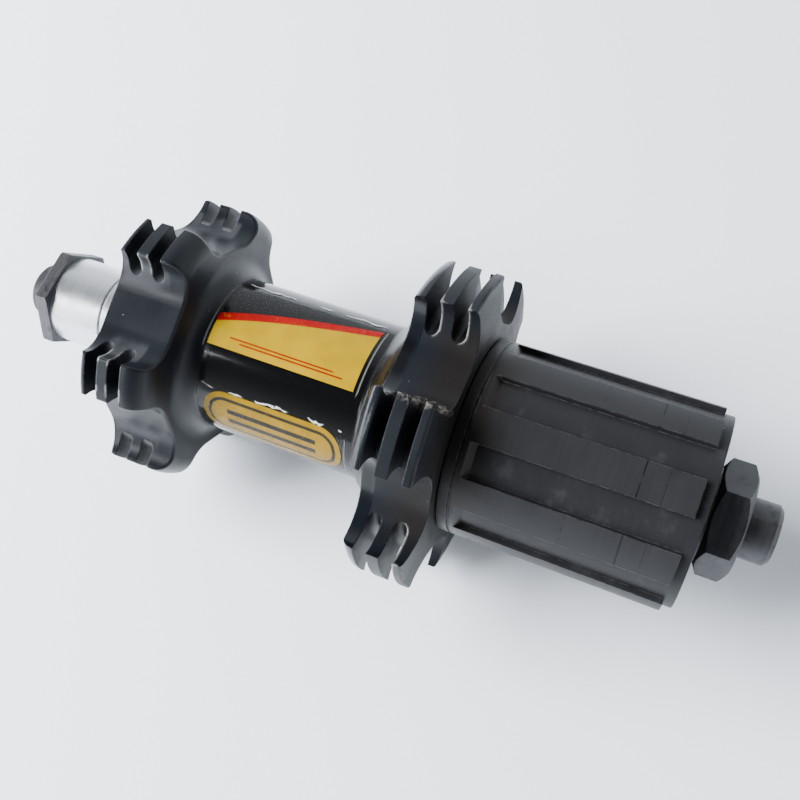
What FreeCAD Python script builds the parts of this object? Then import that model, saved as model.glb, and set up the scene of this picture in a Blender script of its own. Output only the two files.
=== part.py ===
import FreeCAD, Part

import math
import os
import re

import Sketcher

# A bicycle rear hub with straight-pull spoke flanges, a splined freehub body and cartridge bearings.
# Millimetres. The origin is on the axle, at the middle of the width over the locknuts.
# +Y runs along the axle to the left side, the freehub is at -Y, +X is forward and +Z is up.
# Angles in the sheet are degrees about the axle, from +Z towards +X.

DIMENSIONS = {
    # axle: distances along it are counted from the middle, on either side
    "over_locknuts": 130.0,
    "axle_length": 140.0,
    "axle_end_radius": 5.0,
    "axle_thread_radius": 5.4,
    "axle_seat_radius": 6.0,
    "axle_shoulder_radius": 7.2,
    "axle_bore_radius": 2.7,
    "axle_end_chamfer": 0.7,
    "nut_flats": 17.0,
    "nut_bore_clearance": 0.02,
    "nut_rim_margin": 0.1,
    "left_nut_thick": 2.4,
    "left_nut_turn": 27.8,
    "left_nut_chamfer": 0.25,
    "drive_nut_thick": 5.5,
    "drive_nut_turn": 4.0,
    "drive_nut_chamfer": 1.75,
    # spacer, adjuster ring and sleeves on the axle
    "spacer_radius": 8.1,
    "spacer_inner_end": 52.0,
    "adjuster_outer_end": 51.5,
    "adjuster_step": 48.2,
    "sleeve_radius": 7.3,
    "end_sleeve_radius": 7.9,
    # cartridge bearing, four alike
    "bearing_outer_radius": 12.0,
    "bearing_width": 6.0,
    "bearing_pitch_radius": 9.0,
    "ball_radius": 1.55,
    "ball_count": 11,
    "race_gap": 0.08,
    "inner_race_radius": 7.9,
    "outer_race_radius": 10.1,
    "cage_thick": 0.9,
    "cage_width": 4.2,
    "shield_thick": 0.5,
    "left_bearing_start": 39.0,
    "drive_bearing_start": 7.5,
    "freehub_inner_bearing_start": 24.0,
    "freehub_outer_bearing_start": 43.5,
    # hub shell: tube and flanges
    "tube_radius": 14.0,
    "tube_bore_radius": 11.4,
    "bearing_stop_radius": 10.4,
    "shell_left_end": 45.6,
    "shell_left_end_radius": 14.6,
    "left_flange_radius": 25.3,
    "left_flange_outer": 41.9,
    "left_valley_outer": 43.1,
    "left_valley_inner": 29.8,
    "left_shoulder_round": 3.6,
    "left_flare_round": 3.5,
    "left_flange_turn": 11.5,
    "left_valley_floor": 19.0,
    "left_valley_round": 6.1,
    "left_valley_half_flat": 3.0,
    "left_slot_floor": 20.6,
    "left_slot_one": 39.9,
    "left_slot_two": 35.45,
    "drive_flange_radius": 28.1,
    "drive_flange_outer": 19.4,
    "drive_tip_outer": 18.5,
    "drive_taper_foot_radius": 20.0,
    "drive_flange_inner": 7.9,
    "drive_tip_inner_round": 1.9,
    "drive_valley_inner": 7.6,
    "drive_flange_turn": 30.0,
    "drive_valley_floor": 19.4,
    "drive_valley_round": 6.4,
    "drive_valley_half_flat": 1.8,
    "drive_slot_floor": 21.1,
    "drive_slot_one": 11.25,
    "drive_slot_two": 15.75,
    "drive_shoulder": 4.2,
    "drive_shoulder_radius": 15.1,
    "drive_shoulder_height": 1.1,
    "drive_flare_round": 9.0,
    "bearing_stop_thick": 1.5,
    "slot_width": 2.4,
    "tip_round": 0.5,
    "arm_count": 6,
    "tip_flare": 1.0,
    "cut_margin": 4.0,
    "cut_overrun": 1.0,
    # ratchet and pawls
    "ratchet_start": 14.2,
    "ratchet_end": 18.5,
    "ratchet_outer_radius": 17.4,
    "ratchet_root_radius": 16.6,
    "ratchet_tip_radius": 15.6,
    "ratchet_teeth": 24,
    "ratchet_face_turn": 23.2,
    "ratchet_root_back": 2.3,
    "ratchet_ramp_back": 11.6,
    "pawl_count": 2,
    "pawl_pivot_radius": 13.6,
    "pawl_hinge_radius": 1.2,
    "pawl_hinge_gap": 0.06,
    "pawl_reach": 6.0,
    "pawl_toe_top": 0.35,
    "pawl_toe_bottom": -0.9,
    "pawl_start": 14.9,
    "pawl_end": 18.2,
    "pocket_reach": 6.6,
    "pocket_depth": 1.7,
    "pocket_neck": 0.3,
    "pocket_end": 18.6,
    "spring_leaf": 0.15,
    "spring_inset": 1.0,
    "spring_root": 1.6,
    "spring_lift": 0.4,
    # freehub body
    "carrier_start": 14.4,
    "carrier_end": 19.7,
    "carrier_radius": 15.3,
    "carrier_bore_radius": 7.8,
    "collar_groove_start": 21.4,
    "collar_groove_end": 21.8,
    "collar_groove_radius": 16.7,
    "spline_start": 22.6,
    "spline_run_out": 1.2,
    "collar_weld": 0.5,
    "spline_end": 57.0,
    "spline_radius": 17.0,
    "spline_floor_radius": 16.0,
    "spline_count": 9,
    "spline_turn": 24.5,
    "spline_groove_width": 20.0,
    "freehub_end": 58.6,
    "lockring_bore_radius": 14.8,
    "lockring_bore_start": 51.6,
    "clip_groove_start": 49.6,
    "clip_groove_end": 50.7,
    "clip_radius": 12.7,
    "clip_inner_radius": 11.0,
    "clip_opening": 40.0,
    "seal_start": 18.55,
    "seal_lip_radius": 15.5,
    "dust_cap_start": 51.7,
    "dust_cap_thick": 0.8,
    "dust_cap_gap": 0.15,
    # stickers on the tube
    "sticker_thick": 0.1,
    "label_left": 25.8,
    "label_drive": 1.8,
    "label_turn": 5.0,
    "label_sweep": 52.0,
    "film_left": 26.2,
    "film_drive": 2.6,
    "film_turn": 5.0,
    "film_sweep": 72.0,
    "badge_left": 25.0,
    "badge_drive": 1.4,
    "badge_turn": -71.0,
    "badge_sweep": 40.0,
}

doc = FreeCAD.newDocument("rear_hub")
sheet = doc.addObject("Spreadsheet::Sheet", "dims")
for row, (alias, number) in enumerate(DIMENSIONS.items(), start=1):
    sheet.set(f"A{row}", alias)
    sheet.set(f"B{row}", str(number))
    sheet.setAlias(f"B{row}", alias)
doc.recompute()

nodes = []

# how near a vertex lies to a stated radius or plane to count as being on it
TOLERANCE = 0.01


def bound(expression):
    """The expression as the document reads it, with each alias taken from the sheet."""
    def in_sheet(word):
        return f"dims.{word[0]}" if word[0] in DIMENSIONS else word[0]
    return re.sub(r"[a-z_]+", in_sheet, expression)


def value(expression):
    """The number that the expression stands for now."""
    result = sheet.evalExpression(bound(expression))
    return float(getattr(result, "Value", result))


def polar(radius, turn):
    """A sketch point at a radius and an angle from +Z towards +X."""
    return f"({radius}) * sin({turn})", f"({radius}) * cos({turn})"


def origin_feature(body, role):
    return next(item for item in body.Origin.OriginFeatures if item.Role == role)


def new_body(label):
    body = doc.addObject("PartDesign::Body", label)
    body.Label = label
    return body


def keep(piece, label):
    """Names a finished sub-part and lists it for export."""
    piece.Label = label
    nodes.append(piece)
    return piece


def arc_middle(start, end, radius):
    """The middle point of the short arc from start to end; a positive radius turns left."""
    chord = end - start
    normal = FreeCAD.Vector(-chord.y, chord.x, 0).normalize()
    half = chord.Length / 2
    rise = abs(radius) - math.sqrt(radius * radius - half * half)
    return (start + end) * 0.5 - normal * math.copysign(rise, radius)


def add_outline(sketch, outline):
    """Draws a closed outline of (x, y) or (x, y, radius of the arc that leads there) expressions."""
    points = [FreeCAD.Vector(value(item[0]), value(item[1]), 0) for item in outline]
    first = sketch.GeometryCount
    ends = []
    for index, item in enumerate(outline):
        start = points[index - 1]
        end = points[index]
        if len(item) == 2:
            sketch.addGeometry(Part.LineSegment(start, end))
            ends.append((1, 2))
            continue
        radius = value(item[2])
        middle = arc_middle(start, end, radius)
        if radius > 0:
            sketch.addGeometry(Part.Arc(start, middle, end))
            ends.append((1, 2))
        else:
            sketch.addGeometry(Part.Arc(end, middle, start))
            ends.append((2, 1))
    for index, item in enumerate(outline):
        following = (index + 1) % len(outline)
        edge = first + index
        sketch.addConstraint(
            Sketcher.Constraint("Coincident", edge, ends[index][1], first + following, ends[following][0]))
        for kind, expression, number in (
                ("DistanceX", item[0], points[index].x), ("DistanceY", item[1], points[index].y)):
            place = sketch.addConstraint(Sketcher.Constraint(kind, -1, 1, edge, ends[index][1], number))
            sketch.setExpression(f"Constraints[{place}]", bound(expression))
        if len(item) == 3:
            place = sketch.addConstraint(Sketcher.Constraint("Radius", edge, abs(value(item[2]))))
            sketch.setExpression(f"Constraints[{place}]", bound(f"abs({item[2]})"))


def add_sketch(body, name, role, outline, turn=None):
    """A sketch on one of the body's origin planes, turned about the plane's normal."""
    sketch = body.newObject("Sketcher::SketchObject", name)
    sketch.AttachmentSupport = [(origin_feature(body, role), "")]
    sketch.MapMode = "FlatFace"
    if turn is not None:
        sketch.AttachmentOffset = FreeCAD.Placement(
            FreeCAD.Vector(), FreeCAD.Rotation(FreeCAD.Vector(0, 0, -1), value(turn)))
        sketch.setExpression("AttachmentOffset.Rotation.Angle", bound(f"({turn}) * 1 deg"))
    add_outline(sketch, outline)
    doc.recompute()
    return sketch


def revolve(body, outline, name="turned"):
    """A full turn of an outline of (distance along the axle, radius) points."""
    sketch = add_sketch(body, f"{body.Name}_{name}_outline", "YZ_Plane", outline)
    solid = body.newObject("PartDesign::Revolution", f"{body.Name}_{name}")
    solid.Profile = (sketch, [""])
    solid.ReferenceAxis = (sketch, ["H_Axis"])
    doc.recompute()
    return solid


def groove(body, name, outline):
    """Cuts a full turn of an outline away from the body."""
    sketch = add_sketch(body, f"{name}_outline", "YZ_Plane", outline)
    before = body.Shape.Volume
    cut = body.newObject("PartDesign::Groove", name)
    cut.Profile = (sketch, [""])
    cut.ReferenceAxis = (sketch, ["H_Axis"])
    doc.recompute()
    require_less(before, body.Shape.Volume, name)
    return cut


def pocket(body, name, outline, start, end, to_drive, turn, count):
    """Cuts an outline of the XZ plane from start to end along the axle, repeated around it."""
    sketch = add_sketch(body, f"{name}_outline", "XZ_Plane", outline, turn)
    sketch.setExpression("AttachmentOffset.Base.z", bound(start if to_drive else f"-({start})"))
    doc.recompute()
    before = body.Shape.Volume
    cut = body.newObject("PartDesign::Pocket", name)
    cut.Profile = (sketch, [""])
    cut.setExpression("Length", bound(f"{end} - ({start})"))
    cut.Reversed = to_drive
    doc.recompute()
    require_less(before, body.Shape.Volume, name)
    before = body.Shape.Volume
    pattern = body.newObject("PartDesign::PolarPattern", f"{name}_pattern")
    pattern.Originals = [cut]
    pattern.Axis = (origin_feature(body, "Y_Axis"), [""])
    pattern.Angle = 360
    pattern.setExpression("Occurrences", bound(count))
    body.Tip = pattern
    doc.recompute()
    require_less(before, body.Shape.Volume, f"{name} pattern")
    return pattern


def require_less(before, after, name):
    if after >= before:
        raise RuntimeError(f"{name} cuts nothing")


def lathe(label, outline):
    """A turned sub-part."""
    body = new_body(label)
    revolve(body, outline)
    return keep(body, label)


def ring(label, start, end, inner, outer):
    """A plain turned ring from start to end along the axle."""
    return lathe(label, [(start, inner), (start, outer), (end, outer), (end, inner)])


def part_ring(label, start, end, inner, outer, sweep, turn):
    """A ring that goes only part of the way round, with its middle at the turn angle."""
    body = new_body(label)
    solid = revolve(body, [(start, inner), (start, outer), (end, outer), (end, inner)])
    solid.Midplane = True
    solid.setExpression("Angle", bound(sweep))
    body.Placement = FreeCAD.Placement(
        FreeCAD.Vector(), FreeCAD.Rotation(FreeCAD.Vector(0, 1, 0), value(turn)))
    body.setExpression("Placement.Rotation.Angle", bound(f"({turn}) * 1 deg"))
    return keep(body, label)


def make_axle():
    """A hollow axle: plain ends for the frame, threads under the nuts, bearing seats and a thick middle."""
    end = "axle_length / 2"
    face = "over_locknuts / 2"
    chamfer = "axle_end_chamfer"
    left_seat = "left_bearing_start"
    drive_seat = "drive_bearing_start"
    left_step = "spacer_inner_end"
    drive_step = "over_locknuts / 2 - drive_nut_thick"
    lathe("axle", [
        (f"-{end}", "axle_bore_radius"),
        (f"-{end}", f"axle_end_radius - {chamfer}"),
        (f"-{end} + {chamfer}", "axle_end_radius"),
        (f"-{face}", "axle_end_radius"),
        (f"-{face}", "axle_thread_radius"),
        (f"-({drive_step})", "axle_thread_radius"),
        (f"-({drive_step})", "axle_seat_radius"),
        (f"-{drive_seat}", "axle_seat_radius"),
        (f"-{drive_seat}", "axle_shoulder_radius"),
        (left_seat, "axle_shoulder_radius"),
        (left_seat, "axle_seat_radius"),
        (left_step, "axle_seat_radius"),
        (left_step, "axle_thread_radius"),
        (face, "axle_thread_radius"),
        (face, "axle_end_radius"),
        (f"{end} - {chamfer}", "axle_end_radius"),
        (end, f"axle_end_radius - {chamfer}"),
        (end, "axle_bore_radius")])


def make_nut(label, inner, outer, chamfer, turn):
    """A hexagon locknut: a hexagon prism held within a chamfered barrel with the bore through it."""
    corner = f"nut_flats / 2 / cos(30) - {chamfer}"
    rim = "nut_flats / 2 / cos(30) + nut_rim_margin"
    toward = "" if value(outer) > value(inner) else "-"
    step = f"{toward}(tan(30) * ({chamfer} + nut_rim_margin))"
    barrel = new_body(f"{label}_barrel")
    revolve(barrel, [
        (inner, "axle_thread_radius + nut_bore_clearance"),
        (inner, corner),
        (f"{inner} + {step}", rim),
        (f"{outer} - {step}", rim),
        (outer, corner),
        (outer, "axle_thread_radius + nut_bore_clearance")])
    prism = doc.addObject("Part::Prism", f"{label}_prism")
    prism.Polygon = 6
    prism.setExpression("Circumradius", bound("nut_flats / 2 / cos(30)"))
    prism.setExpression("Height", bound(f"abs({outer} - ({inner}))"))
    lowest = min((inner, outer), key=value)
    along_axle = FreeCAD.Rotation(FreeCAD.Vector(1, 0, 0), -90)
    corner_turn = FreeCAD.Rotation(FreeCAD.Vector(0, 1, 0), value(turn) - 90)
    prism.Placement = FreeCAD.Placement(FreeCAD.Vector(0, value(lowest), 0), corner_turn * along_axle)
    prism.setExpression("Placement.Base.y", bound(lowest))
    nut = doc.addObject("Part::Common", f"{label}_nut")
    nut.Base = barrel
    nut.Tool = prism
    doc.recompute()
    return keep(nut, label)


def make_axle_parts():
    """What is clamped on the axle between the locknuts."""
    half = "over_locknuts / 2"
    seat = "axle_seat_radius"
    make_nut("left_locknut", f"{half} - left_nut_thick", half, "left_nut_chamfer", "left_nut_turn")
    make_nut(
        "drive_locknut", f"-({half} - drive_nut_thick)", f"-{half}", "drive_nut_chamfer", "drive_nut_turn")
    ring("left_spacer", "spacer_inner_end", f"{half} - left_nut_thick", "axle_thread_radius", "spacer_radius")
    bearing_face = "left_bearing_start + bearing_width"
    lathe("left_adjuster_ring", [
        (bearing_face, seat),
        (bearing_face, "sleeve_radius"),
        ("adjuster_step", "sleeve_radius"),
        ("adjuster_step", "spacer_radius"),
        ("adjuster_outer_end", "spacer_radius"),
        ("adjuster_outer_end", "sleeve_radius"),
        ("spacer_inner_end", "sleeve_radius"),
        ("spacer_inner_end", seat)])
    first = "drive_bearing_start + bearing_width"
    second = "freehub_inner_bearing_start"
    third = "freehub_inner_bearing_start + bearing_width"
    fourth = "freehub_outer_bearing_start"
    fifth = "freehub_outer_bearing_start + bearing_width"
    ring("drive_sleeve", f"-({second})", f"-({first})", seat, "sleeve_radius")
    ring("freehub_inner_sleeve", f"-({fourth})", f"-({third})", seat, "sleeve_radius")
    ring("end_sleeve", f"-({half} - drive_nut_thick)", f"-({fifth})", seat, "end_sleeve_radius")


def make_ball_set(label, middle):
    """The balls of one bearing, evenly round the axle."""
    balls = []
    for index in range(int(value("ball_count"))):
        ball = doc.addObject("Part::Sphere", f"{label}_{index + 1}")
        ball.setExpression("Radius", bound("ball_radius"))
        across, up = polar("bearing_pitch_radius", f"360 * ({index} + 0.5) / ball_count")
        ball.setExpression("Placement.Base.x", bound(across))
        ball.setExpression("Placement.Base.y", bound(middle))
        ball.setExpression("Placement.Base.z", bound(up))
        balls.append(ball)
    ball_set = doc.addObject("Part::Compound", f"{label}_set")
    ball_set.Links = balls
    doc.recompute()
    return keep(ball_set, label)


def make_cage(label, middle):
    """A thin cage ring with a round window for each ball."""
    half = "cage_width / 2"
    inner = "bearing_pitch_radius - cage_thick / 2"
    outer = "bearing_pitch_radius + cage_thick / 2"
    ring_body = new_body(f"{label}_ring")
    revolve(ring_body, [
        (f"{middle} - {half}", inner),
        (f"{middle} - {half}", outer),
        (f"{middle} + {half}", outer),
        (f"{middle} + {half}", inner)])
    windows = []
    for index in range(int(value("ball_count"))):
        turn = f"360 * ({index} + 0.5) / ball_count"
        across, up = polar("bearing_pitch_radius - cage_thick", turn)
        window = doc.addObject("Part::Cylinder", f"{label}_window_{index + 1}")
        window.setExpression("Radius", bound("ball_radius + race_gap"))
        window.setExpression("Height", bound("2 * cage_thick"))
        window.Placement = FreeCAD.Placement(
            FreeCAD.Vector(), FreeCAD.Rotation(FreeCAD.Vector(0, 1, 0), value(turn)))
        window.setExpression("Placement.Rotation.Angle", bound(f"({turn}) * 1 deg"))
        window.setExpression("Placement.Base.x", bound(across))
        window.setExpression("Placement.Base.y", bound(middle))
        window.setExpression("Placement.Base.z", bound(up))
        windows.append(window)
    all_windows = doc.addObject("Part::Compound", f"{label}_windows")
    all_windows.Links = windows
    cage = doc.addObject("Part::Cut", f"{label}_cut")
    cage.Base = ring_body
    cage.Tool = all_windows
    doc.recompute()
    return keep(cage, label)


def make_race(label, start, end, bore, rim, track_side):
    """A race with a round track for the balls; track_side is the race's edge that faces them."""
    middle = f"({start} + {end}) / 2"
    track = "ball_radius + race_gap"
    reach = f"abs(bearing_pitch_radius - {track_side})"
    half = f"sqrt(({track}) * ({track}) - {reach} * {reach})"
    if track_side == rim:
        outline = [
            (start, bore), (start, rim), (f"{middle} - {half}", rim),
            (f"{middle} + {half}", rim, track), (end, rim), (end, bore)]
    else:
        outline = [
            (end, rim), (end, bore), (f"{middle} + {half}", bore),
            (f"{middle} - {half}", bore, track), (start, bore), (start, rim)]
    return lathe(label, outline)


def make_bearing(prefix, start, side):
    """One cartridge bearing: two races, the balls, their cage and a shield at each face."""
    low, high = f"{start}", f"{start} + bearing_width"
    if side == "drive":
        low, high = f"-({high})", f"-{start}"
    middle = f"({low} + {high}) / 2"
    seat = "axle_seat_radius"
    inner_rim = "inner_race_radius"
    outer_bore = "outer_race_radius"
    make_race(f"{prefix}_inner_race", low, high, seat, inner_rim, inner_rim)
    make_race(f"{prefix}_outer_race", low, high, outer_bore, "bearing_outer_radius", outer_bore)
    make_ball_set(f"{prefix}_balls", middle)
    make_cage(f"{prefix}_cage", middle)
    inner = f"{inner_rim} + race_gap"
    shields = []
    for name, face, back in (("low", low, f"{low} + shield_thick"), ("high", f"{high} - shield_thick", high)):
        shield = new_body(f"{prefix}_{name}_shield")
        revolve(shield, [(face, inner), (face, outer_bore), (back, outer_bore), (back, inner)])
        shields.append(shield)
    pair = doc.addObject("Part::Compound", f"{prefix}_shield_pair")
    pair.Links = shields
    doc.recompute()
    keep(pair, f"{prefix}_shields")


def valley(floor, rounding, half_flat, flange):
    """The hollow between two arms: a flat floor, two round corners and walls that lean in at the tips."""
    wall = f"{half_flat} + {rounding}"
    level = f"{floor} + {rounding}"
    top = f"{flange} + cut_margin"
    return [
        (f"-({wall})", level),
        (f"-{half_flat}", floor, rounding),
        (half_flat, floor),
        (wall, level, rounding),
        (f"{wall} - tip_flare", top),
        (f"-({wall} - tip_flare)", top)]


def slot(middle, floor, flange):
    """A slot round the flange, with a round bottom."""
    half = "slot_width / 2"
    level = f"{floor} + {half}"
    top = f"{flange} + cut_margin"
    return [
        (f"{middle} - {half}", level),
        (middle, floor, half),
        (f"{middle} + {half}", level, half),
        (f"{middle} + {half}", top),
        (f"{middle} - {half}", top)]


def round_arm_tips(body, name, radius, smooth_side):
    """Rounds the edges of the arms' outer ends, except where the end already runs on smoothly."""
    base = body.Tip
    edges = []
    for number, edge in enumerate(base.Shape.Edges, start=1):
        on_tip = all(abs(math.hypot(end.X, end.Z) - value(radius)) < TOLERANCE for end in edge.Vertexes)
        smooth = all(abs(end.Y - value(smooth_side)) < TOLERANCE for end in edge.Vertexes)
        if on_tip and not smooth:
            edges.append(f"Edge{number}")
    fillet = body.newObject("PartDesign::Fillet", name)
    fillet.Base = (base, edges)
    fillet.setExpression("Radius", bound("tip_round"))
    doc.recompute()
    require_less(base.Shape.Volume, body.Shape.Volume, name)


def make_shell():
    """The tube with its two flanges, the bearing seats and the hollow for the ratchet."""
    body = new_body("hub_shell")
    left_stop = "left_bearing_start"
    drive_stop = "drive_bearing_start"
    stop_thick = "bearing_stop_thick"
    ratchet_wall = "ratchet_outer_radius"
    revolve(body, [
        ("shell_left_end", "bearing_outer_radius"),
        ("shell_left_end", "shell_left_end_radius"),
        ("left_valley_outer", "left_valley_floor"),
        ("left_flange_outer", "left_flange_radius"),
        ("left_valley_inner + left_shoulder_round", "left_flange_radius"),
        ("left_valley_inner", "left_flange_radius - left_shoulder_round", "left_shoulder_round"),
        ("left_valley_inner", "tube_radius + left_flare_round"),
        ("left_valley_inner - left_flare_round", "tube_radius", "-left_flare_round"),
        ("-(drive_shoulder - drive_shoulder_height)", "tube_radius"),
        ("-drive_shoulder", "drive_shoulder_radius", "-drive_shoulder_height"),
        ("-drive_valley_inner", "drive_valley_floor", "-drive_flare_round"),
        ("-drive_flange_inner", "drive_flange_radius - drive_tip_inner_round"),
        ("-(drive_flange_inner + drive_tip_inner_round)", "drive_flange_radius", "drive_tip_inner_round"),
        ("-(drive_tip_outer - tip_round)", "drive_flange_radius"),
        ("-drive_tip_outer", "drive_flange_radius - tip_round", "tip_round"),
        ("-drive_flange_outer", "drive_taper_foot_radius"),
        ("-drive_flange_outer", ratchet_wall),
        ("-ratchet_start", ratchet_wall),
        ("-ratchet_start", "bearing_outer_radius"),
        (f"-{drive_stop}", "bearing_outer_radius"),
        (f"-{drive_stop}", "bearing_stop_radius"),
        (f"-({drive_stop} - {stop_thick})", "bearing_stop_radius"),
        (f"-({drive_stop} - {stop_thick})", "tube_bore_radius"),
        (f"{left_stop} - {stop_thick}", "tube_bore_radius"),
        (f"{left_stop} - {stop_thick}", "bearing_stop_radius"),
        (left_stop, "bearing_stop_radius"),
        (left_stop, "bearing_outer_radius")])
    half_step = "180 / arm_count"
    pocket(
        body, "left_valley",
        valley("left_valley_floor", "left_valley_round", "left_valley_half_flat", "left_flange_radius"),
        "0", "left_flange_outer + cut_margin", False, f"left_flange_turn + {half_step}", "arm_count")
    pocket(
        body, "drive_valley",
        valley("drive_valley_floor", "drive_valley_round", "drive_valley_half_flat", "drive_flange_radius"),
        "0", "drive_flange_outer + cut_margin", True, f"drive_flange_turn + {half_step}", "arm_count")
    round_arm_tips(body, "left_tips", "left_flange_radius", "left_valley_inner + left_shoulder_round")
    for number in ("one", "two"):
        groove(body, f"left_slot_{number}_cut", slot(
            f"left_slot_{number}", "left_slot_floor", "left_flange_radius"))
        groove(body, f"drive_slot_{number}_cut", slot(
            f"-drive_slot_{number}", "drive_slot_floor", "drive_flange_radius"))
    keep(body, "hub_shell")


def make_ratchet():
    """The toothed ring in the drive flange."""
    body = new_body("ratchet_ring")
    revolve(body, [
        ("-ratchet_end", "ratchet_tip_radius"),
        ("-ratchet_end", "ratchet_outer_radius"),
        ("-ratchet_start", "ratchet_outer_radius"),
        ("-ratchet_start", "ratchet_tip_radius")])
    face = "ratchet_face_turn"
    gap = [
        polar("ratchet_tip_radius - race_gap", face),
        polar("ratchet_root_radius", face),
        polar("ratchet_root_radius", f"{face} - ratchet_root_back"),
        polar("ratchet_tip_radius - race_gap", f"{face} - ratchet_ramp_back")]
    pocket(
        body, "tooth_gap", gap, "ratchet_start - cut_overrun", "ratchet_end + cut_overrun",
        True, "0", "ratchet_teeth")
    keep(body, "ratchet_ring")


def make_freehub():
    """The freehub body: pawl carrier, collar, nine splines and the bores for its bearings."""
    body = new_body("freehub_body")
    revolve(body, [
        ("-carrier_start", "carrier_bore_radius"),
        ("-carrier_start", "carrier_radius"),
        ("-carrier_end", "carrier_radius"),
        ("-carrier_end", "spline_radius"),
        ("-collar_groove_start", "spline_radius"),
        ("-collar_groove_start", "collar_groove_radius"),
        ("-collar_groove_end", "collar_groove_radius"),
        ("-collar_groove_end", "spline_radius"),
        ("-spline_end", "spline_radius"),
        ("-spline_end", "spline_floor_radius"),
        ("-freehub_end", "spline_floor_radius"),
        ("-freehub_end", "lockring_bore_radius"),
        ("-lockring_bore_start", "lockring_bore_radius"),
        ("-lockring_bore_start", "bearing_outer_radius"),
        ("-clip_groove_end", "bearing_outer_radius"),
        ("-clip_groove_end", "clip_radius"),
        ("-clip_groove_start", "clip_radius"),
        ("-clip_groove_start", "bearing_outer_radius"),
        ("-freehub_inner_bearing_start", "bearing_outer_radius"),
        ("-freehub_inner_bearing_start", "carrier_bore_radius")])
    edge = "spline_groove_width / 2"
    outside = "spline_radius + cut_margin"
    floor = "spline_floor_radius"
    spline_groove = [
        polar(floor, f"-{edge}") + (floor,),
        polar(outside, f"-{edge}"),
        polar(outside, edge),
        polar(floor, edge)]
    pocket(
        body, "spline_groove", spline_groove, "spline_start", "freehub_end + cut_overrun",
        True, "spline_turn + 180 / spline_count", "spline_count")
    revolve(body, [
        ("-spline_start", "spline_floor_radius - collar_weld"),
        ("-spline_start", "spline_radius"),
        ("-(spline_start + spline_run_out)", "spline_floor_radius"),
        ("-(spline_start + spline_run_out)", "spline_floor_radius - collar_weld")], "run_out")
    hinge = "(pawl_hinge_radius + pawl_hinge_gap)"
    mouth = f"sqrt({hinge} * {hinge} - pocket_neck * pocket_neck)"
    pawl_pocket = [
        ("pocket_neck", f"pawl_pivot_radius + {mouth}", f"-{hinge}"),
        ("pocket_neck", "carrier_radius + cut_margin"),
        ("pocket_reach", "carrier_radius + cut_margin"),
        ("pocket_reach", "pawl_pivot_radius - pocket_depth"),
        ("pocket_neck", "pawl_pivot_radius - pocket_depth"),
        ("pocket_neck", f"pawl_pivot_radius - {mouth}"),
        (f"-{hinge}", "pawl_pivot_radius", f"-{hinge}")]
    pocket(
        body, "pawl_pocket", pawl_pocket, "carrier_start - cut_overrun", "pocket_end",
        True, "0", "pawl_count")
    keep(body, "freehub_body")


def prism_along_axle(body, name, outline, start, end):
    """Pads an outline of the XZ plane on the drive side, from start to end along the axle."""
    sketch = add_sketch(body, f"{name}_outline", "XZ_Plane", outline)
    sketch.setExpression("AttachmentOffset.Base.z", bound(start))
    pad = body.newObject("PartDesign::Pad", name)
    pad.Profile = (sketch, [""])
    pad.setExpression("Length", bound(f"{end} - ({start})"))
    doc.recompute()
    return pad


def make_pawl(label, turn):
    """A pawl lying folded in its pocket, with its round heel on the pivot."""
    body = new_body(label)
    pivot = "pawl_pivot_radius"
    heel = "pawl_hinge_radius"
    outline = [
        (f"-{heel}", pivot, f"-{heel}"),
        ("0", f"{pivot} + {heel}", f"-{heel}"),
        ("pawl_reach", f"{pivot} + pawl_toe_top"),
        ("pawl_reach", f"{pivot} + pawl_toe_bottom"),
        ("0", f"{pivot} - {heel}")]
    prism_along_axle(body, f"{label}_solid", outline, "pawl_start", "pawl_end")
    body.Placement = FreeCAD.Placement(FreeCAD.Vector(), FreeCAD.Rotation(FreeCAD.Vector(0, 1, 0), turn))
    keep(body, label)


def make_pawl_springs(turns):
    """One bent leaf under each pawl."""
    leaves = []
    floor = "pawl_pivot_radius - pocket_depth"
    for index, turn in enumerate(turns):
        leaf = new_body(f"pawl_spring_leaf_{index + 1}")
        outline = [
            ("spring_root", floor),
            ("spring_root", f"{floor} + spring_leaf"),
            ("pawl_reach", f"{floor} + spring_lift"),
            ("pawl_reach", f"{floor} + spring_lift - spring_leaf"),
            ("spring_root * 2", floor)]
        prism_along_axle(
            leaf, f"{leaf.Name}_solid", outline, "pawl_start + spring_inset", "pawl_end - spring_inset")
        leaf.Placement = FreeCAD.Placement(FreeCAD.Vector(), FreeCAD.Rotation(FreeCAD.Vector(0, 1, 0), turn))
        leaves.append(leaf)
    springs = doc.addObject("Part::Compound", "pawl_spring_set")
    springs.Links = leaves
    doc.recompute()
    keep(springs, "pawl_springs")


def make_freehub_small_parts():
    """Seal, dust cap, outer sleeve and retaining clip of the freehub."""
    ring("freehub_seal", "-drive_flange_outer", "-seal_start", "seal_lip_radius", "ratchet_outer_radius")
    sleeve_start = "freehub_inner_bearing_start + bearing_width"
    ring("freehub_outer_sleeve", "-freehub_outer_bearing_start", f"-({sleeve_start})",
         "outer_race_radius", "bearing_outer_radius")
    part_ring("freehub_clip", "-clip_groove_end", "-clip_groove_start", "clip_inner_radius", "clip_radius",
              "360 - clip_opening", "180")
    ring("freehub_dust_cap", "-(dust_cap_start + dust_cap_thick)", "-dust_cap_start",
         "end_sleeve_radius + dust_cap_gap", "lockring_bore_radius")
    ring("left_dust_seal", "shell_left_end - shield_thick", "shell_left_end",
         "sleeve_radius + dust_cap_gap", "bearing_outer_radius")


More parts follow.
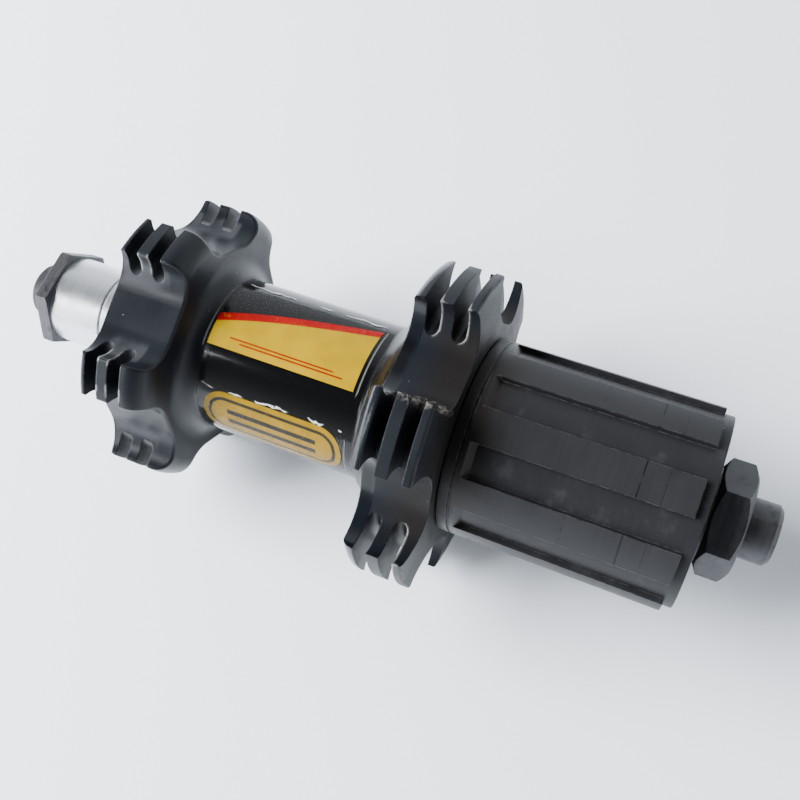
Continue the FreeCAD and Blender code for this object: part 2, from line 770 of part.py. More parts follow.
def make_stickers():
    """The printed panel, its clear cover film and the badge on the tube."""
    skin = "tube_radius + sticker_thick"
    part_ring("label_panel", "-label_drive", "label_left", "tube_radius", skin, "label_sweep", "label_turn")
    part_ring("badge_panel", "-badge_drive", "badge_left", "tube_radius", skin, "badge_sweep", "badge_turn")
    part_ring("label_cover_film", "-film_drive", "film_left", skin, f"{skin} + sticker_thick / 2",
              "film_sweep", "film_turn")


def check_all():
    for item in doc.Objects:
        if "Invalid" in item.State or "Error" in item.State:
            raise RuntimeError(f"{item.Label} failed: {item.State}")
    for piece in nodes:
        if piece.Shape.isNull() or not piece.Shape.isValid():
            raise RuntimeError(f"{piece.Label} has no valid shape")


def export_all():
    os.makedirs("parts", exist_ok=True)
    for piece in nodes:
        piece.Shape.exportStep(f"parts/{piece.Label}.step")
        print(f"{piece.Label}: {piece.Shape.Volume:.1f} mm3")


make_axle()
make_axle_parts()
make_bearing("left_bearing", "left_bearing_start", "left")
make_bearing("drive_bearing", "drive_bearing_start", "drive")
make_bearing("freehub_inner_bearing", "freehub_inner_bearing_start", "drive")
make_bearing("freehub_outer_bearing", "freehub_outer_bearing_start", "drive")
make_shell()
make_ratchet()
make_freehub()
make_pawl("pawl_a", 0)
make_pawl("pawl_b", 180)
make_pawl_springs((0, 180))
make_freehub_small_parts()
make_stickers()
doc.recompute()
check_all()
export_all()
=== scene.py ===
import math

import bmesh
import bpy
from mathutils import Matrix, Vector


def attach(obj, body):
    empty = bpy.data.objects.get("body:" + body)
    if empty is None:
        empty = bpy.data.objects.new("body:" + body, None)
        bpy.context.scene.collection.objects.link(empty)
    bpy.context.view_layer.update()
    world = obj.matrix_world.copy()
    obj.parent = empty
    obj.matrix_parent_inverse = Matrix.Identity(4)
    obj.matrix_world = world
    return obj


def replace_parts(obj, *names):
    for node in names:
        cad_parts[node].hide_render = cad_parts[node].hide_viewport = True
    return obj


# A bicycle rear hub lying on a pale table. Metres; the axle is the Y axis, with the freehub at -Y.
# Angles about the axle are counted from +Z towards +X, as in the CAD.
# Materials and stickers are written in millimetres along the axle and degrees about it.

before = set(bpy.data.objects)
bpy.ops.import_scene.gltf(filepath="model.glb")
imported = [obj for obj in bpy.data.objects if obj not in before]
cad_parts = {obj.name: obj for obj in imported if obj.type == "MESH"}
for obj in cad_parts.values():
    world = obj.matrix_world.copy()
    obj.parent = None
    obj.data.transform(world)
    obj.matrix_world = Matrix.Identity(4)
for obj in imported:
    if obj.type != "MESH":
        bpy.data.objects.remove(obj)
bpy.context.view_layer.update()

MM = 0.001
PER_MM = 1 / MM


def around(radius, turn):
    """The X and Z of a point at a radius and an angle in degrees about the axle."""
    angle = math.radians(turn)
    return radius * math.sin(angle), radius * math.cos(angle)


def tint(red, green, blue):
    """A linear colour from the 0 to 255 values of a screen colour."""
    def linear(level):
        share = level / 255
        return share / 12.92 if share <= 0.04045 else ((share + 0.055) / 1.055) ** 2.4
    return linear(red), linear(green), linear(blue), 1.0


# ---------------------------------------------------------------- camera, floor and light

CAMERA_DISTANCE = 158.5 * MM
CAMERA_ALONG_AXLE = -49.8 * MM
CAMERA_TURN = -21.3
CAMERA_YAW = 0.274
CAMERA_PITCH = -0.009
CAMERA_ROLL = 0.329
CAMERA_LENS = 42.4

FLOOR_SIZE = 3.0
FLOOR_GAP = 0.02 * MM
LEFT_FLANGE_FROM = 25 * MM

ROOM_COLOUR = (0.9, 0.95, 1, 1)
ROOM_LEVEL, OVERHEAD_LEVEL = 1.35, 0.1
ROOM_EDGE, OVERHEAD_EDGE = 0.2, 0.92
LAMP_COLOUR = (0.95, 0.98, 1)

# each panel's direction from the hub, distance, width, length and power, and whether it shows in reflections
PANELS = {
    "window": ((-0.2, 0.75, 0.75), 0.75, 0.5, 0.5, 25, False),
    "pane": ((-0.5, 0.6, 0.6), 0.7, 0.1, 0.26, 1.6, True),
    "low_pane": ((-0.31, 0.97, 0.2), 0.7, 0.75, 0.13, 5, True)}


def make_camera():
    """Looks at the hub from above and beside the freehub, rolled so that the axle slopes down to the right.

    Yaw, pitch and roll are in radians.
    """
    across, up = around(1.0, CAMERA_TURN)
    outward = Vector((across, 0, up))
    sideways = Vector((up, 0, -across))
    along = Vector((0, -1, 0))
    forward = (-math.sin(CAMERA_YAW) * math.cos(CAMERA_PITCH) * along
               - math.cos(CAMERA_YAW) * math.cos(CAMERA_PITCH) * outward
               - math.sin(CAMERA_PITCH) * sideways)
    level_right = forward.cross(sideways).normalized()
    level_up = level_right.cross(forward)
    right = level_right * math.cos(CAMERA_ROLL) + level_up * math.sin(CAMERA_ROLL)
    top = level_up * math.cos(CAMERA_ROLL) - level_right * math.sin(CAMERA_ROLL)
    camera = bpy.data.objects.new("camera", bpy.data.cameras.new("camera"))
    bpy.context.scene.collection.objects.link(camera)
    camera.data.lens = CAMERA_LENS
    camera.data.clip_start = MM
    position = outward * CAMERA_DISTANCE + Vector((0, CAMERA_ALONG_AXLE, 0))
    camera.matrix_world = Matrix.Translation(position) @ Matrix((right, top, -forward)).transposed().to_4x4()
    bpy.context.scene.camera = camera


def lowest(points):
    """The point with the least Z."""
    return min(points, key=lambda point: point.z)


def make_floor():
    """A pale table under both flanges of the shell. The drive flange is larger, so it slopes a little."""
    points = [vertex.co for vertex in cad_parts["hub_shell"].data.vertices]
    left = lowest([point for point in points if point.y > LEFT_FLANGE_FROM])
    drive = lowest([point for point in points if point.y < 0])
    slope = math.atan2(left.z - drive.z, left.y - drive.y)
    bpy.ops.mesh.primitive_plane_add(
        size=FLOOR_SIZE, location=(0, drive.y, drive.z - FLOOR_GAP), rotation=(slope, 0, 0))
    floor = bpy.context.object
    floor.name = "floor"
    paint = Paint("table")
    cloud = paint.noise(0.02, detail=3)
    grain = paint.noise(1.5, detail=4)
    paint.colour(paint.mix(cloud, tint(238, 242, 250), tint(243, 246, 252)))
    paint.rough(paint.span(grain, 0.3, 0.7, 0.5, 0.62))
    paint.bump(grain, 0.004)
    floor.data.materials.append(paint.material)


def make_area(name, direction, distance, width, length, power, glossy):
    """A panel that shines on the hub from a direction. Only a glossy panel shows in reflections."""
    light = bpy.data.lights.new(name, "AREA")
    light.shape = "RECTANGLE"
    light.size = width
    light.size_y = length
    light.energy = power
    light.color = LAMP_COLOUR
    lamp = bpy.data.objects.new(name, light)
    bpy.context.scene.collection.objects.link(lamp)
    away = Vector(direction).normalized()
    lamp.location = away * distance
    lamp.rotation_euler = (-away).to_track_quat("-Z", "Y").to_euler()
    lamp.visible_glossy = glossy


def make_light():
    """A pale room, darker above the hub, with a soft window on the left and two small bright panes."""
    world = bpy.data.worlds.new("world")
    bpy.context.scene.world = world
    world.use_nodes = True
    nodes, links = world.node_tree.nodes, world.node_tree.links
    background = nodes["Background"]
    background.inputs["Color"].default_value = ROOM_COLOUR
    across, up = around(1.0, CAMERA_TURN)
    overhead = nodes.new("ShaderNodeVectorMath")
    overhead.operation = "DOT_PRODUCT"
    overhead.inputs[1].default_value = (across, 0, up)
    links.new(nodes.new("ShaderNodeTexCoord").outputs["Generated"], overhead.inputs[0])
    fall = nodes.new("ShaderNodeMapRange")
    fall.interpolation_type = "SMOOTHSTEP"
    fall.inputs["From Min"].default_value = ROOM_EDGE
    fall.inputs["From Max"].default_value = OVERHEAD_EDGE
    fall.inputs["To Min"].default_value = ROOM_LEVEL
    fall.inputs["To Max"].default_value = OVERHEAD_LEVEL
    links.new(overhead.outputs["Value"], fall.inputs["Value"])
    links.new(fall.outputs["Result"], background.inputs["Strength"])
    for name, panel in PANELS.items():
        make_area(name, *panel)


# ---------------------------------------------------------------- material nodes

MIX_FACTOR, MIX_FIRST, MIX_SECOND, MIX_RESULT = 0, 6, 7, 2


class Paint:
    """A procedural material. Most methods add one node and return its output."""

    def __init__(self, name):
        self.material = bpy.data.materials.new(name)
        self.material.use_nodes = True
        self.nodes = self.material.node_tree.nodes
        self.links = self.material.node_tree.links
        self.shader = self.nodes["Principled BSDF"]
        self.normal = None
        position = self.add("ShaderNodeTexCoord", "Object", {})
        self.point = self.add(
            "ShaderNodeVectorMath", "Vector", {"Vector": position, "Scale": PER_MM}, operation="SCALE")
        parts = self.nodes.new("ShaderNodeSeparateXYZ")
        self.put(parts.inputs["Vector"], self.point)
        across, self.along, up = parts.outputs
        square = self.math("ADD", self.math("MULTIPLY", across, across), self.math("MULTIPLY", up, up))
        self.radius = self.math("SQRT", square)
        self.turn = self.math("DEGREES", self.math("ARCTAN2", across, up))

    def put(self, socket, value):
        """Links a node's output to a socket, or sets the socket to a constant."""
        if isinstance(value, bpy.types.NodeSocket):
            self.links.new(value, socket)
        else:
            socket.default_value = value

    def add(self, kind, output, inputs, **settings):
        """Adds a node with its settings and inputs, and returns one output."""
        node = self.nodes.new(kind)
        for key, setting in settings.items():
            setattr(node, key, setting)
        for key, value in inputs.items():
            self.put(node.inputs[key], value)
        return node.outputs[output]

    def math(self, operation, first, second=0.0):
        return self.add("ShaderNodeMath", "Value", {0: first, 1: second}, operation=operation)

    def span(self, value, low, high, start=0.0, end=1.0):
        """A smooth step of the value from low to high, between start and end."""
        return self.add(
            "ShaderNodeMapRange", "Result",
            {"Value": value, "From Min": low, "From Max": high, "To Min": start, "To Max": end},
            interpolation_type="SMOOTHSTEP")

    def within(self, value, low, high, soft):
        """1 between low and high, falling to 0 over the soft width at each end."""
        rise = self.span(value, low - soft, low)
        fall = self.span(value, high, high + soft, 1.0, 0.0)
        return self.math("MULTIPLY", rise, fall)

    def times(self, *masks):
        result = masks[0]
        for mask in masks[1:]:
            result = self.math("MULTIPLY", result, mask)
        return result

    def most(self, *masks):
        result = masks[0]
        for mask in masks[1:]:
            result = self.math("MAXIMUM", result, mask)
        return result

    def mix(self, factor, first, second):
        node = self.nodes.new("ShaderNodeMix")
        node.data_type = "RGBA"
        self.put(node.inputs[MIX_FACTOR], factor)
        self.put(node.inputs[MIX_FIRST], first)
        self.put(node.inputs[MIX_SECOND], second)
        return node.outputs[MIX_RESULT]

    def noise(self, scale, detail=2.0, distortion=0.0, vector=None):
        """Noise with so many features in each millimetre."""
        return self.add(
            "ShaderNodeTexNoise", "Fac",
            {"Vector": vector or self.point, "Scale": scale, "Detail": detail, "Distortion": distortion})

    def stretched(self, across, along):
        """Coordinates about and along the axle, scaled so that noise on them runs in streaks."""
        return self.add(
            "ShaderNodeCombineXYZ", "Vector",
            {"X": self.math("MULTIPLY", self.turn, across),
             "Y": self.math("MULTIPLY", self.along, along),
             "Z": self.math("MULTIPLY", self.radius, along)})

    def specks(self, scale, size, share):
        """Small round dots in a share of the cells."""
        cells = self.nodes.new("ShaderNodeTexVoronoi")
        self.put(cells.inputs["Vector"], self.point)
        cells.inputs["Scale"].default_value = scale
        chosen = self.math("LESS_THAN", cells.outputs["Color"], share)
        return self.math("MULTIPLY", chosen, self.span(cells.outputs["Distance"], size / 2, size, 1.0, 0.0))

    def edges(self, radius, shading=True):
        """A mask of the sharp edges, which the shading rounds as well."""
        rounded = self.add("ShaderNodeBevel", "Normal", {"Radius": radius * MM}, samples=6)
        flat = self.add("ShaderNodeNewGeometry", "Normal", {})
        agreement = self.add("ShaderNodeVectorMath", "Value", {0: rounded, 1: flat}, operation="DOT_PRODUCT")
        if shading:
            self.normal = rounded
        return self.span(agreement, 0.8, 0.985, 1.0, 0.0)

    def spots(self, places):
        """1 in each place, which is its middle along the axle, middle turn, half length and half turn."""
        masks = []
        for middle, turn, half_length, half_turn in places:
            lengthwise = self.math("DIVIDE", self.math("SUBTRACT", self.along, middle), half_length)
            turnwise = self.math("DIVIDE", self.math("SUBTRACT", self.turn, turn), half_turn)
            reach = self.math("ADD", self.math("ABSOLUTE", lengthwise), self.math("ABSOLUTE", turnwise))
            masks.append(self.span(reach, 0.9, 1.5, 1.0, 0.0))
        return self.most(*masks)

    def bump(self, height, depth):
        """Raises the surface by up to the depth in millimetres."""
        inputs = {"Height": height, "Distance": depth * MM, "Strength": 1.0}
        if self.normal is not None:
            inputs["Normal"] = self.normal
        self.normal = self.add("ShaderNodeBump", "Normal", inputs)
        self.put(self.shader.inputs["Normal"], self.normal)

    def colour(self, value):
        self.put(self.shader.inputs["Base Color"], value)

    def rough(self, value):
        self.put(self.shader.inputs["Roughness"], value)

    def metal(self, value):
        self.put(self.shader.inputs["Metallic"], value)

    def shine(self, level):
        self.shader.inputs["Specular IOR Level"].default_value = level


# ---------------------------------------------------------------- metals

BARE = tint(176, 175, 172)
DULL_BARE = tint(104, 99, 92)
GREASE = tint(33, 28, 24)

# places on the shell: middle along the axle, middle turn, half length, half turn
RAGGED_WEAR = ((-15.5, -16.4, 6.0, 2.6),)
BARE_EDGES = (
    (-14.5, -55.3, 1.6, 2.0),
    (-12.5, 12.5, 1.0, 6.0),
    (-16.9, 12.5, 1.0, 6.0),
    (-16.9, -73.0, 1.2, 8.0),
    (37.5, -6.3, 2.2, 2.0),
    (37.5, 1.7, 1.6, 2.0),
    (37.5, -39.3, 2.2, 2.4),
    (35.5, -52.0, 4.0, 3.0))


def make_shell_paint():
    """Gloss black on the tube, blue-black anodising on the flanges, bare metal where they are worn, and a
    painted sheen on the left flange's slot walls.
    """
    paint = Paint("black_shell")
    edge = paint.edges(0.28)
    wide_edge = paint.edges(0.8, shading=False)
    cloud = paint.noise(0.11, detail=4)
    grain = paint.noise(2.2, detail=5)
    ragged = paint.noise(1.4, detail=7, distortion=0.3)
    clear_of_flange = paint.span(paint.along, 24.8, 28.0, 1.0, 0.0)
    barrel = paint.times(
        clear_of_flange, paint.span(paint.along, -5.1, -4.3), paint.span(paint.radius, 15.2, 15.8, 1.0, 0.0))
    shoulder = paint.times(
        paint.within(paint.along, -9.45, -3.0, 0.1), paint.span(paint.radius, 19.0, 21.0, 1.0, 0.0))
    tube = paint.most(barrel, shoulder)
    flange = paint.math("SUBTRACT", 1.0, tube)
    left = paint.span(paint.along, 20.0, 24.0)
    outer = paint.span(paint.radius, 19.5, 21.0)

    scuffed = paint.times(paint.spots(RAGGED_WEAR), outer, paint.span(ragged, 0.4, 0.6))
    worn_edge = paint.times(edge, paint.span(ragged, 0.6, 0.7), flange, paint.span(paint.radius, 18.6, 20.0))
    bare_edge = paint.times(wide_edge, paint.spots(BARE_EDGES), outer, paint.span(ragged, 0.3, 0.5))
    rough_wear = paint.times(scuffed, paint.span(grain, 0.35, 0.65, 0.15, 0.9))
    wear = paint.most(paint.times(worn_edge, 0.45), bare_edge)

    # Painted sheen: a lighter blue-grey, mottled over the left flange's slot walls, stands in for the light
    # those walls catch.
    slot_wall_sheen = paint.times(
        paint.within(paint.along, 33.5, 42.0, 0.6), paint.within(paint.radius, 20.2, 22.4, 0.8),
        paint.span(cloud, 0.38, 0.58))
    dust = paint.times(paint.specks(1.0, 0.13, 0.1), flange)
    greasy = paint.times(
        paint.span(paint.along, -17.4, -10.0, 1.0, 0.0), paint.span(paint.radius, 20.5, 26.0, 1.0, 0.0))

    satin = paint.mix(cloud, tint(9, 11, 15), tint(17, 20, 27))
    satin = paint.mix(paint.times(slot_wall_sheen, 0.5), satin, tint(62, 63, 67))
    satin = paint.mix(paint.times(greasy, 0.8), satin, tint(20, 16, 13))
    skin = paint.mix(tube, satin, tint(7, 7, 8))
    skin = paint.mix(rough_wear, skin, DULL_BARE)
    skin = paint.mix(wear, skin, BARE)
    paint.colour(paint.mix(paint.times(dust, 0.6), skin, tint(150, 152, 156)))
    paint.metal(paint.math("ADD", paint.times(wear, 0.85), paint.times(rough_wear, 0.2)))
    satin_rough = paint.math("ADD", paint.span(cloud, 0.3, 0.7, 0.38, 0.5), paint.times(grain, 0.08))
    rim = paint.within(paint.along, -9.9, -7.0, 0.2)
    smoother = paint.math("ADD", paint.times(left, 0.12), paint.times(rim, 0.28))
    flange_rough = paint.math("SUBTRACT", satin_rough, smoother)
    tube_rough = paint.math("ADD", paint.span(grain, 0.3, 0.8, 0.08, 0.14), paint.times(shoulder, 0.14))
    paint.rough(paint.math("ADD", paint.times(flange_rough, flange), paint.times(tube_rough, tube)))
    paint.shine(0.34)
    worn_away = paint.times(paint.most(wear, rough_wear), 0.8)
    relief = paint.math("SUBTRACT", paint.times(grain, flange), worn_away)
    paint.bump(relief, 0.02)
    return paint.material


def make_freehub_paint():
    """Dark anodised splines with painted shade in the grooves between them, turned lines across them, brown
    grease at the flange.
    """
    paint = Paint("grey_freehub")
    edge = paint.edges(0.18)
    cloud = paint.noise(0.16, detail=4, distortion=0.4)
    grain = paint.noise(2.8, detail=5)
    turned = paint.noise(1.0, detail=3, vector=paint.stretched(0.03, 9.0))
    ragged = paint.noise(0.7, detail=5)
    tooth = paint.span(paint.radius, 16.5, 16.8)
    outside = paint.span(paint.radius, 15.7, 15.9)
    grease_reach = paint.math("ADD", paint.along, paint.math("MULTIPLY", paint.noise(0.3, detail=3), 4.0))
    grease = paint.span(grease_reach, -26.5, -20.5)

    marks = paint.most(
        paint.within(paint.along, -48.45, -48.3, 0.08),
        paint.times(paint.within(paint.along, -52.05, -51.95, 0.06), 0.5),
        paint.times(paint.within(paint.along, -39.6, -39.5, 0.05), paint.span(ragged, 0.5, 0.6)))
    marks = paint.times(marks, tooth, paint.span(paint.noise(0.25, detail=2), 0.38, 0.5))
    smudge = paint.times(
        paint.math("SUBTRACT", 1.0, tooth), paint.span(paint.noise(0.33, detail=5), 0.56, 0.72), outside)
    less_inboard = paint.span(paint.along, -57.2, -24.0, 1.0, 0.6)
    rub = paint.times(edge, outside, paint.span(ragged, 0.42, 0.6), less_inboard)
    dust = paint.specks(0.7, 0.12, 0.08)

    skin = paint.mix(cloud, tint(32, 32, 34), tint(42, 42, 44))
    # Painted shade: the groove floors between the splines get a darker colour than the tooth tops.
    floor = paint.mix(cloud, tint(27, 27, 29), tint(38, 38, 41))
    skin = paint.mix(paint.math("SUBTRACT", 1.0, tooth), skin, floor)
    skin = paint.mix(paint.times(paint.span(turned, 0.35, 0.75), 0.06), skin, tint(84, 84, 86))
    skin = paint.mix(paint.times(smudge, 0.3), skin, tint(62, 63, 64))
    skin = paint.mix(paint.times(marks, 0.85), skin, tint(11, 11, 12))
    skin = paint.mix(paint.times(grease, 0.85), skin, tint(22, 17, 14))
    skin = paint.mix(paint.times(rub, 0.6), skin, tint(140, 138, 135))
    paint.colour(paint.mix(paint.times(dust, 0.8), skin, tint(190, 190, 190)))
    clean = paint.math("SUBTRACT", 1.0, grease)
    paint.metal(paint.times(clean, paint.math("ADD", 0.25, paint.times(rub, 0.5))))
    rough = paint.math("ADD", paint.span(turned, 0.3, 0.7, 0.42, 0.5), paint.times(cloud, 0.1))
    paint.rough(paint.math("SUBTRACT", rough, paint.times(grease, 0.12)))
    paint.shine(0.28)
    relief = paint.math("ADD", paint.times(turned, 0.35), paint.times(grain, 0.6))
    paint.bump(paint.math("SUBTRACT", relief, marks), 0.012)
    return paint.material


def make_turned_metal(name, light, dark, rough, lines=6.0, metallic=1.0, wear=0.5, dirt=0.3):
    """Metal with turning lines about the axle, rubbed edges and stains."""
    paint = Paint(name)
    edge = paint.edges(0.2)
    turned = paint.noise(1.0, detail=4, vector=paint.stretched(0.02, lines))
    stain = paint.noise(0.35, detail=5, distortion=0.8)
    grain = paint.noise(3.0, detail=4)
    skin = paint.mix(paint.span(turned, 0.3, 0.7), dark, light)
    skin = paint.mix(paint.times(paint.span(stain, 0.52, 0.72), dirt), skin, GREASE)
    rubbed = paint.times(edge, paint.span(grain, 0.35, 0.6), wear)
    paint.colour(paint.mix(rubbed, skin, BARE))
    paint.metal(metallic)
    uneven = paint.span(turned, 0.3, 0.7, rough, rough + 0.12)
    paint.rough(paint.math("ADD", uneven, paint.times(stain, 0.12)))
    paint.bump(paint.math("ADD", turned, paint.times(grain, 0.4)), 0.01)
    return paint.material


def make_moulded(name, colour, rough):
    """Nylon or rubber, with a fine grain and an uneven sheen."""
    paint = Paint(name)
    paint.edges(0.15)
    cloud = paint.noise(0.3, detail=3)
    grain = paint.noise(4.0, detail=4)
    darker = tuple(level * 0.6 for level in colour[:3]) + (1.0,)
    paint.colour(paint.mix(paint.span(cloud, 0.3, 0.7), colour, darker))
    paint.rough(paint.span(grain, 0.3, 0.7, rough, rough + 0.15))
    paint.bump(grain, 0.015)
    return paint.material


def paint_node(name, material):
    """Gives every slot of a CAD node one material."""
    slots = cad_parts[name].data.materials
    slots.clear()
    slots.append(material)


def paint_nodes():
    """Gives every CAD node its material."""
    steel = make_turned_metal("bearing_steel", tint(205, 206, 208), tint(176, 178, 182), 0.16, dirt=0.2)
    axle = make_turned_metal(
        "axle_steel", tint(90, 90, 92), tint(80, 80, 82), 0.42, lines=1.2, metallic=0.8, dirt=0.45)
    spacer = make_turned_metal(
        "satin_aluminium", tint(246, 247, 250), tint(224, 225, 229), 0.26, lines=14.0, dirt=0.12)
    nut = make_turned_metal(
        "nut_steel", tint(102, 101, 104), tint(82, 81, 84), 0.36, lines=2.0, metallic=0.85, dirt=0.5)
    dark_nut = make_turned_metal(
        "dark_nut", tint(60, 61, 65), tint(48, 49, 53), 0.4, lines=1.5, metallic=0.4, wear=0.4, dirt=0.3)
    hard = make_turned_metal("hard_steel", tint(140, 140, 143), tint(108, 108, 112), 0.24, dirt=0.6)
    cap = make_turned_metal("dark_cap", tint(48, 48, 52), tint(34, 34, 38), 0.4, metallic=0.3, dirt=0.5)
    nylon = make_moulded("cage_nylon", tint(196, 186, 160), 0.4)
    rubber = make_moulded("seal_rubber", tint(30, 30, 31), 0.5)
    paint_node("hub_shell", make_shell_paint())
    paint_node("freehub_body", make_freehub_paint())
    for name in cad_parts:
        if name.endswith("_cage"):
            paint_node(name, nylon)
        elif "bearing" in name:
            paint_node(name, rubber if name.endswith("_shields") else steel)
        elif "sleeve" in name or name == "axle":
            paint_node(name, axle)
    for name in ("ratchet_ring", "pawl_a", "pawl_b", "pawl_springs", "freehub_clip"):
        paint_node(name, hard)
    for name in ("freehub_seal", "left_dust_seal"):
        paint_node(name, rubber)
    paint_node("freehub_dust_cap", cap)
    paint_node("left_spacer", spacer)
    paint_node("left_adjuster_ring", spacer)
    paint_node("left_locknut", nut)
    paint_node("drive_locknut", dark_nut)


# ---------------------------------------------------------------- stickers

# radius of the tube, and the thickness and level of what is on it
TUBE = 14.0
STICKER = 0.09
PRINT = 0.015
FILM_LEVEL = 0.14
FILM_THICK = 0.01
PATCH_STEPS = 72
SHARP_ANGLE = math.radians(40)

# ends along the axle, turns of the edges, and the weights of the curved top's powers
LABEL_LEFT, LABEL_DRIVE = 26.2, -1.3
LABEL_BOTTOM = -20.8
LABEL_TOP = (2.7, 38.0, -18.0, 8.4)
LABEL_BAND = 6.4
# each stripe's turn, start and end
STRIPES = ((-12.5, 3.0, 22.5), (-15.0, 1.2, 20.5))
STRIPE_HALF_TURN = 0.55

# the badge's middle and half sizes, its corners and insets, and its bars
BADGE_MIDDLE, BADGE_HALF = 12.0, 13.3
BADGE_TURN, BADGE_HALF_TURN = -70.6, 19.5
BADGE_CORNER = 4.4
BADGE_LINE, BADGE_FIELD = 1.0, 1.6
BAR_OFFSETS = (-4.5, 4.5)
BAR_HALF, BAR_HALF_TURN = 8.5, 2.0

# the films' ends and turns, their opacity, the painted highlight strip at a cut end, and how far the creases
# and their painted highlights lie past the top edge
FILM_LEFT, FILM_DRIVE = 27.0, -2.2
FILM_MIDDLE, FILM_HALF = 5.0, 36.0
FILM_CORNER = 2.6
FILM_ALPHA = 0.015
CUT_INNER, CUT_OUTER = 0.2, 0.35
CREASE_SHIFT = 2.2
BADGE_FILM_DRIVE, BADGE_FILM_HALF = -2.0, 24.0


def make_patch(name, start, end, lower, upper, level, thick, material):
    """A thin closed sheet bent round the tube, between two edges given as turns at each place along it."""
    mesh = bmesh.new()
    rows = []
    for step in range(PATCH_STEPS + 1):
        along = start + (end - start) * step / PATCH_STEPS
        low, high = lower(along), upper(along)
        row = []
        for part in range(PATCH_STEPS + 1):
            turn = low + (high - low) * part / PATCH_STEPS
            pair = []
            for radius in (level - thick, level):
                across, up = around(radius * MM, turn)
                pair.append(mesh.verts.new((across, along * MM, up)))
            row.append(pair)
        rows.append(row)
    for near, far in zip(rows, rows[1:]):
        for part in range(PATCH_STEPS):
            for side in (0, 1):
                mesh.faces.new((near[part][side], near[part + 1][side], far[part + 1][side], far[part][side]))
    for row in (rows[0], rows[-1]):
        for part in range(PATCH_STEPS):
            mesh.faces.new((row[part][0], row[part + 1][0], row[part + 1][1], row[part][1]))
    for part in (0, PATCH_STEPS):
        for near, far in zip(rows, rows[1:]):
            mesh.faces.new((near[part][0], far[part][0], far[part][1], near[part][1]))
    bmesh.ops.recalc_face_normals(mesh, faces=mesh.faces)
    data = bpy.data.meshes.new(name)
    mesh.to_mesh(data)
    mesh.free()
    data.shade_smooth()
    data.set_sharp_from_angle(angle=SHARP_ANGLE)
    data.materials.append(material)
    piece = bpy.data.objects.new(name, data)
    bpy.context.scene.collection.objects.link(piece)
    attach(piece, "hub_shell")
    return piece


def make_print(name, colour, rough=0.22, scratch=0.35):
    """Printed vinyl under a gloss: a little uneven, with rubbed spots."""
    paint = Paint(name)
    cloud = paint.noise(0.25, detail=4)
    grain = paint.noise(3.5, detail=3)
    worn = paint.times(paint.span(paint.noise(0.8, detail=6), 0.62, 0.74), scratch)
    deeper = tuple(level * 0.82 for level in colour[:3]) + (1.0,)
    skin = paint.mix(paint.span(cloud, 0.3, 0.7), colour, deeper)
    paint.colour(paint.mix(worn, skin, tint(176, 144, 40)))
    paint.shine(0.16)
    paint.rough(paint.span(grain, 0.3, 0.8, rough, rough + 0.1))
    paint.bump(cloud, 0.03)
    return paint.material


def steady(turn):
    """An edge that keeps one turn all along the tube."""
    return lambda along: turn


def label_top(along):
    """The curved upper edge of the label: steep at the left end, flatter towards the drive side."""
    share = (LABEL_LEFT - along) / (LABEL_LEFT - LABEL_DRIVE)
    return sum(weight * share ** power for power, weight in enumerate(LABEL_TOP))


def rounded_end(half_turn, corner, start, end):
    """How far an edge stands from the middle where the corners of a patch are rounded."""
    def reach(along):
        gap = min(along - start, end - along)
        if gap >= corner:
            return half_turn
        cut = corner - math.sqrt(max(corner ** 2 - (corner - gap) ** 2, 0))
        return half_turn - math.degrees(cut / TUBE)
    return reach


def make_label():
    """A yellow label with a red band along its curved top, and plain stripes in place of lettering."""
    yellow = make_print("label_yellow", tint(160, 128, 0))
    red = make_print("label_red", tint(140, 3, 2))
    deep = make_print("label_stripe", tint(128, 5, 3))
    level = TUBE + STICKER
    label = make_patch(
        "label_print", LABEL_DRIVE, LABEL_LEFT, steady(LABEL_BOTTOM), label_top, level, STICKER, yellow)
    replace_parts(label, "label_panel")
    make_patch(
        "label_band", LABEL_DRIVE, LABEL_LEFT, lambda along: label_top(along) - LABEL_BAND, label_top,
        level + PRINT, PRINT, red)
    for number, (turn, start, end) in enumerate(STRIPES, start=1):
        make_patch(
            f"label_stripe_{number}", start, end,
            steady(turn - STRIPE_HALF_TURN), steady(turn + STRIPE_HALF_TURN),
            level + PRINT, PRINT, deep)


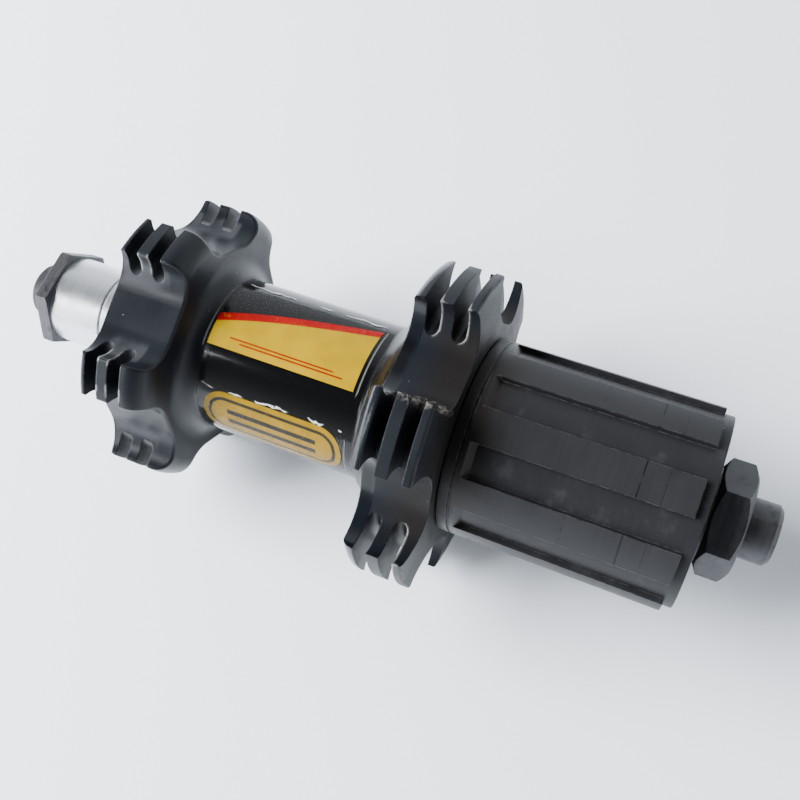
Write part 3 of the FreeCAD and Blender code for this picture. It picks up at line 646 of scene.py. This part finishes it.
def make_badge():
    """A gold plate with rounded corners, a dark inset line and two plain bars."""
    gold = make_print("badge_gold", tint(142, 110, 0), rough=0.25)
    black = make_print("badge_black", tint(24, 23, 22), scratch=0.1)
    level = TUBE + STICKER
    layers = (
        ("badge_print", 0.0, gold),
        ("badge_line", BADGE_LINE, black),
        ("badge_field", BADGE_FIELD, gold))
    for layer, (name, inset, material) in enumerate(layers):
        start = BADGE_MIDDLE - BADGE_HALF + inset
        end = BADGE_MIDDLE + BADGE_HALF - inset
        half_turn = BADGE_HALF_TURN - math.degrees(inset / TUBE)
        reach = rounded_end(half_turn, BADGE_CORNER - inset, start, end)
        piece = make_patch(
            name, start, end,
            lambda along, reach=reach: BADGE_TURN - reach(along),
            lambda along, reach=reach: BADGE_TURN + reach(along),
            level + PRINT * layer, STICKER if layer == 0 else PRINT, material)
        if layer == 0:
            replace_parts(piece, "badge_panel")
    for number, offset in enumerate(BAR_OFFSETS, start=1):
        turn = BADGE_TURN + offset
        make_patch(
            f"badge_bar_{number}", BADGE_MIDDLE - BAR_HALF, BADGE_MIDDLE + BAR_HALF,
            steady(turn - BAR_HALF_TURN), steady(turn + BAR_HALF_TURN),
            level + PRINT * len(layers), PRINT, black)


def make_film_paint(name, left, drive, top_turn):
    """Clear film whose cut ends carry a faint painted highlight line, and whose top edge is lifted into
    broken creases that are painted white as highlights.
    """
    paint = Paint(name)
    ends = paint.most(
        paint.span(paint.along, left - CUT_OUTER, left - CUT_INNER),
        paint.span(paint.along, drive + CUT_INNER, drive + CUT_OUTER, 1.0, 0.0))
    wander = paint.math("MULTIPLY", paint.noise(0.45, detail=4), 9.0)
    past_line = paint.math("SUBTRACT", paint.math("ADD", paint.turn, wander), top_turn + CREASE_SHIFT)
    from_line = paint.math("ABSOLUTE", past_line)
    line = paint.span(from_line, 0.3, 0.8, 1.0, 0.0)
    lifted = paint.times(line, paint.span(paint.noise(0.22, detail=5), 0.46, 0.54))
    # Painted highlight: white colour and opacity along the lifted creases and, faintly, at the cut ends; the
    # crease relief itself is real bump.
    painted_glint = paint.most(paint.times(lifted, 0.7), paint.times(ends, 0.05))
    paint.colour(paint.mix(paint.span(painted_glint, 0.0, 0.05), tint(14, 14, 14), tint(226, 226, 222)))
    crease = paint.noise(0.9, detail=3)
    paint.rough(paint.span(crease, 0.3, 0.7, 0.06, 0.12))
    paint.put(paint.shader.inputs["Alpha"], paint.math("ADD", FILM_ALPHA, painted_glint))
    paint.bump(lifted, 0.1)
    return paint.material


def make_film(name, left, drive, middle, half):
    """A clear sheet with rounded corners, just above the print that it covers."""
    reach = rounded_end(half, FILM_CORNER, drive, left)
    clear = make_film_paint(f"{name}_clear", left, drive, middle + half)
    return make_patch(
        name, drive, left,
        lambda along: middle - reach(along), lambda along: middle + reach(along),
        TUBE + FILM_LEVEL, FILM_THICK, clear)


def make_films():
    """Clear covers over the label and the badge."""
    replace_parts(make_film("label_film", FILM_LEFT, FILM_DRIVE, FILM_MIDDLE, FILM_HALF), "label_cover_film")
    make_film("badge_film", FILM_LEFT, BADGE_FILM_DRIVE, BADGE_TURN, BADGE_FILM_HALF)


# ---------------------------------------------------------------- making

make_camera()
make_floor()
make_light()
paint_nodes()
make_label()
make_badge()
make_films()
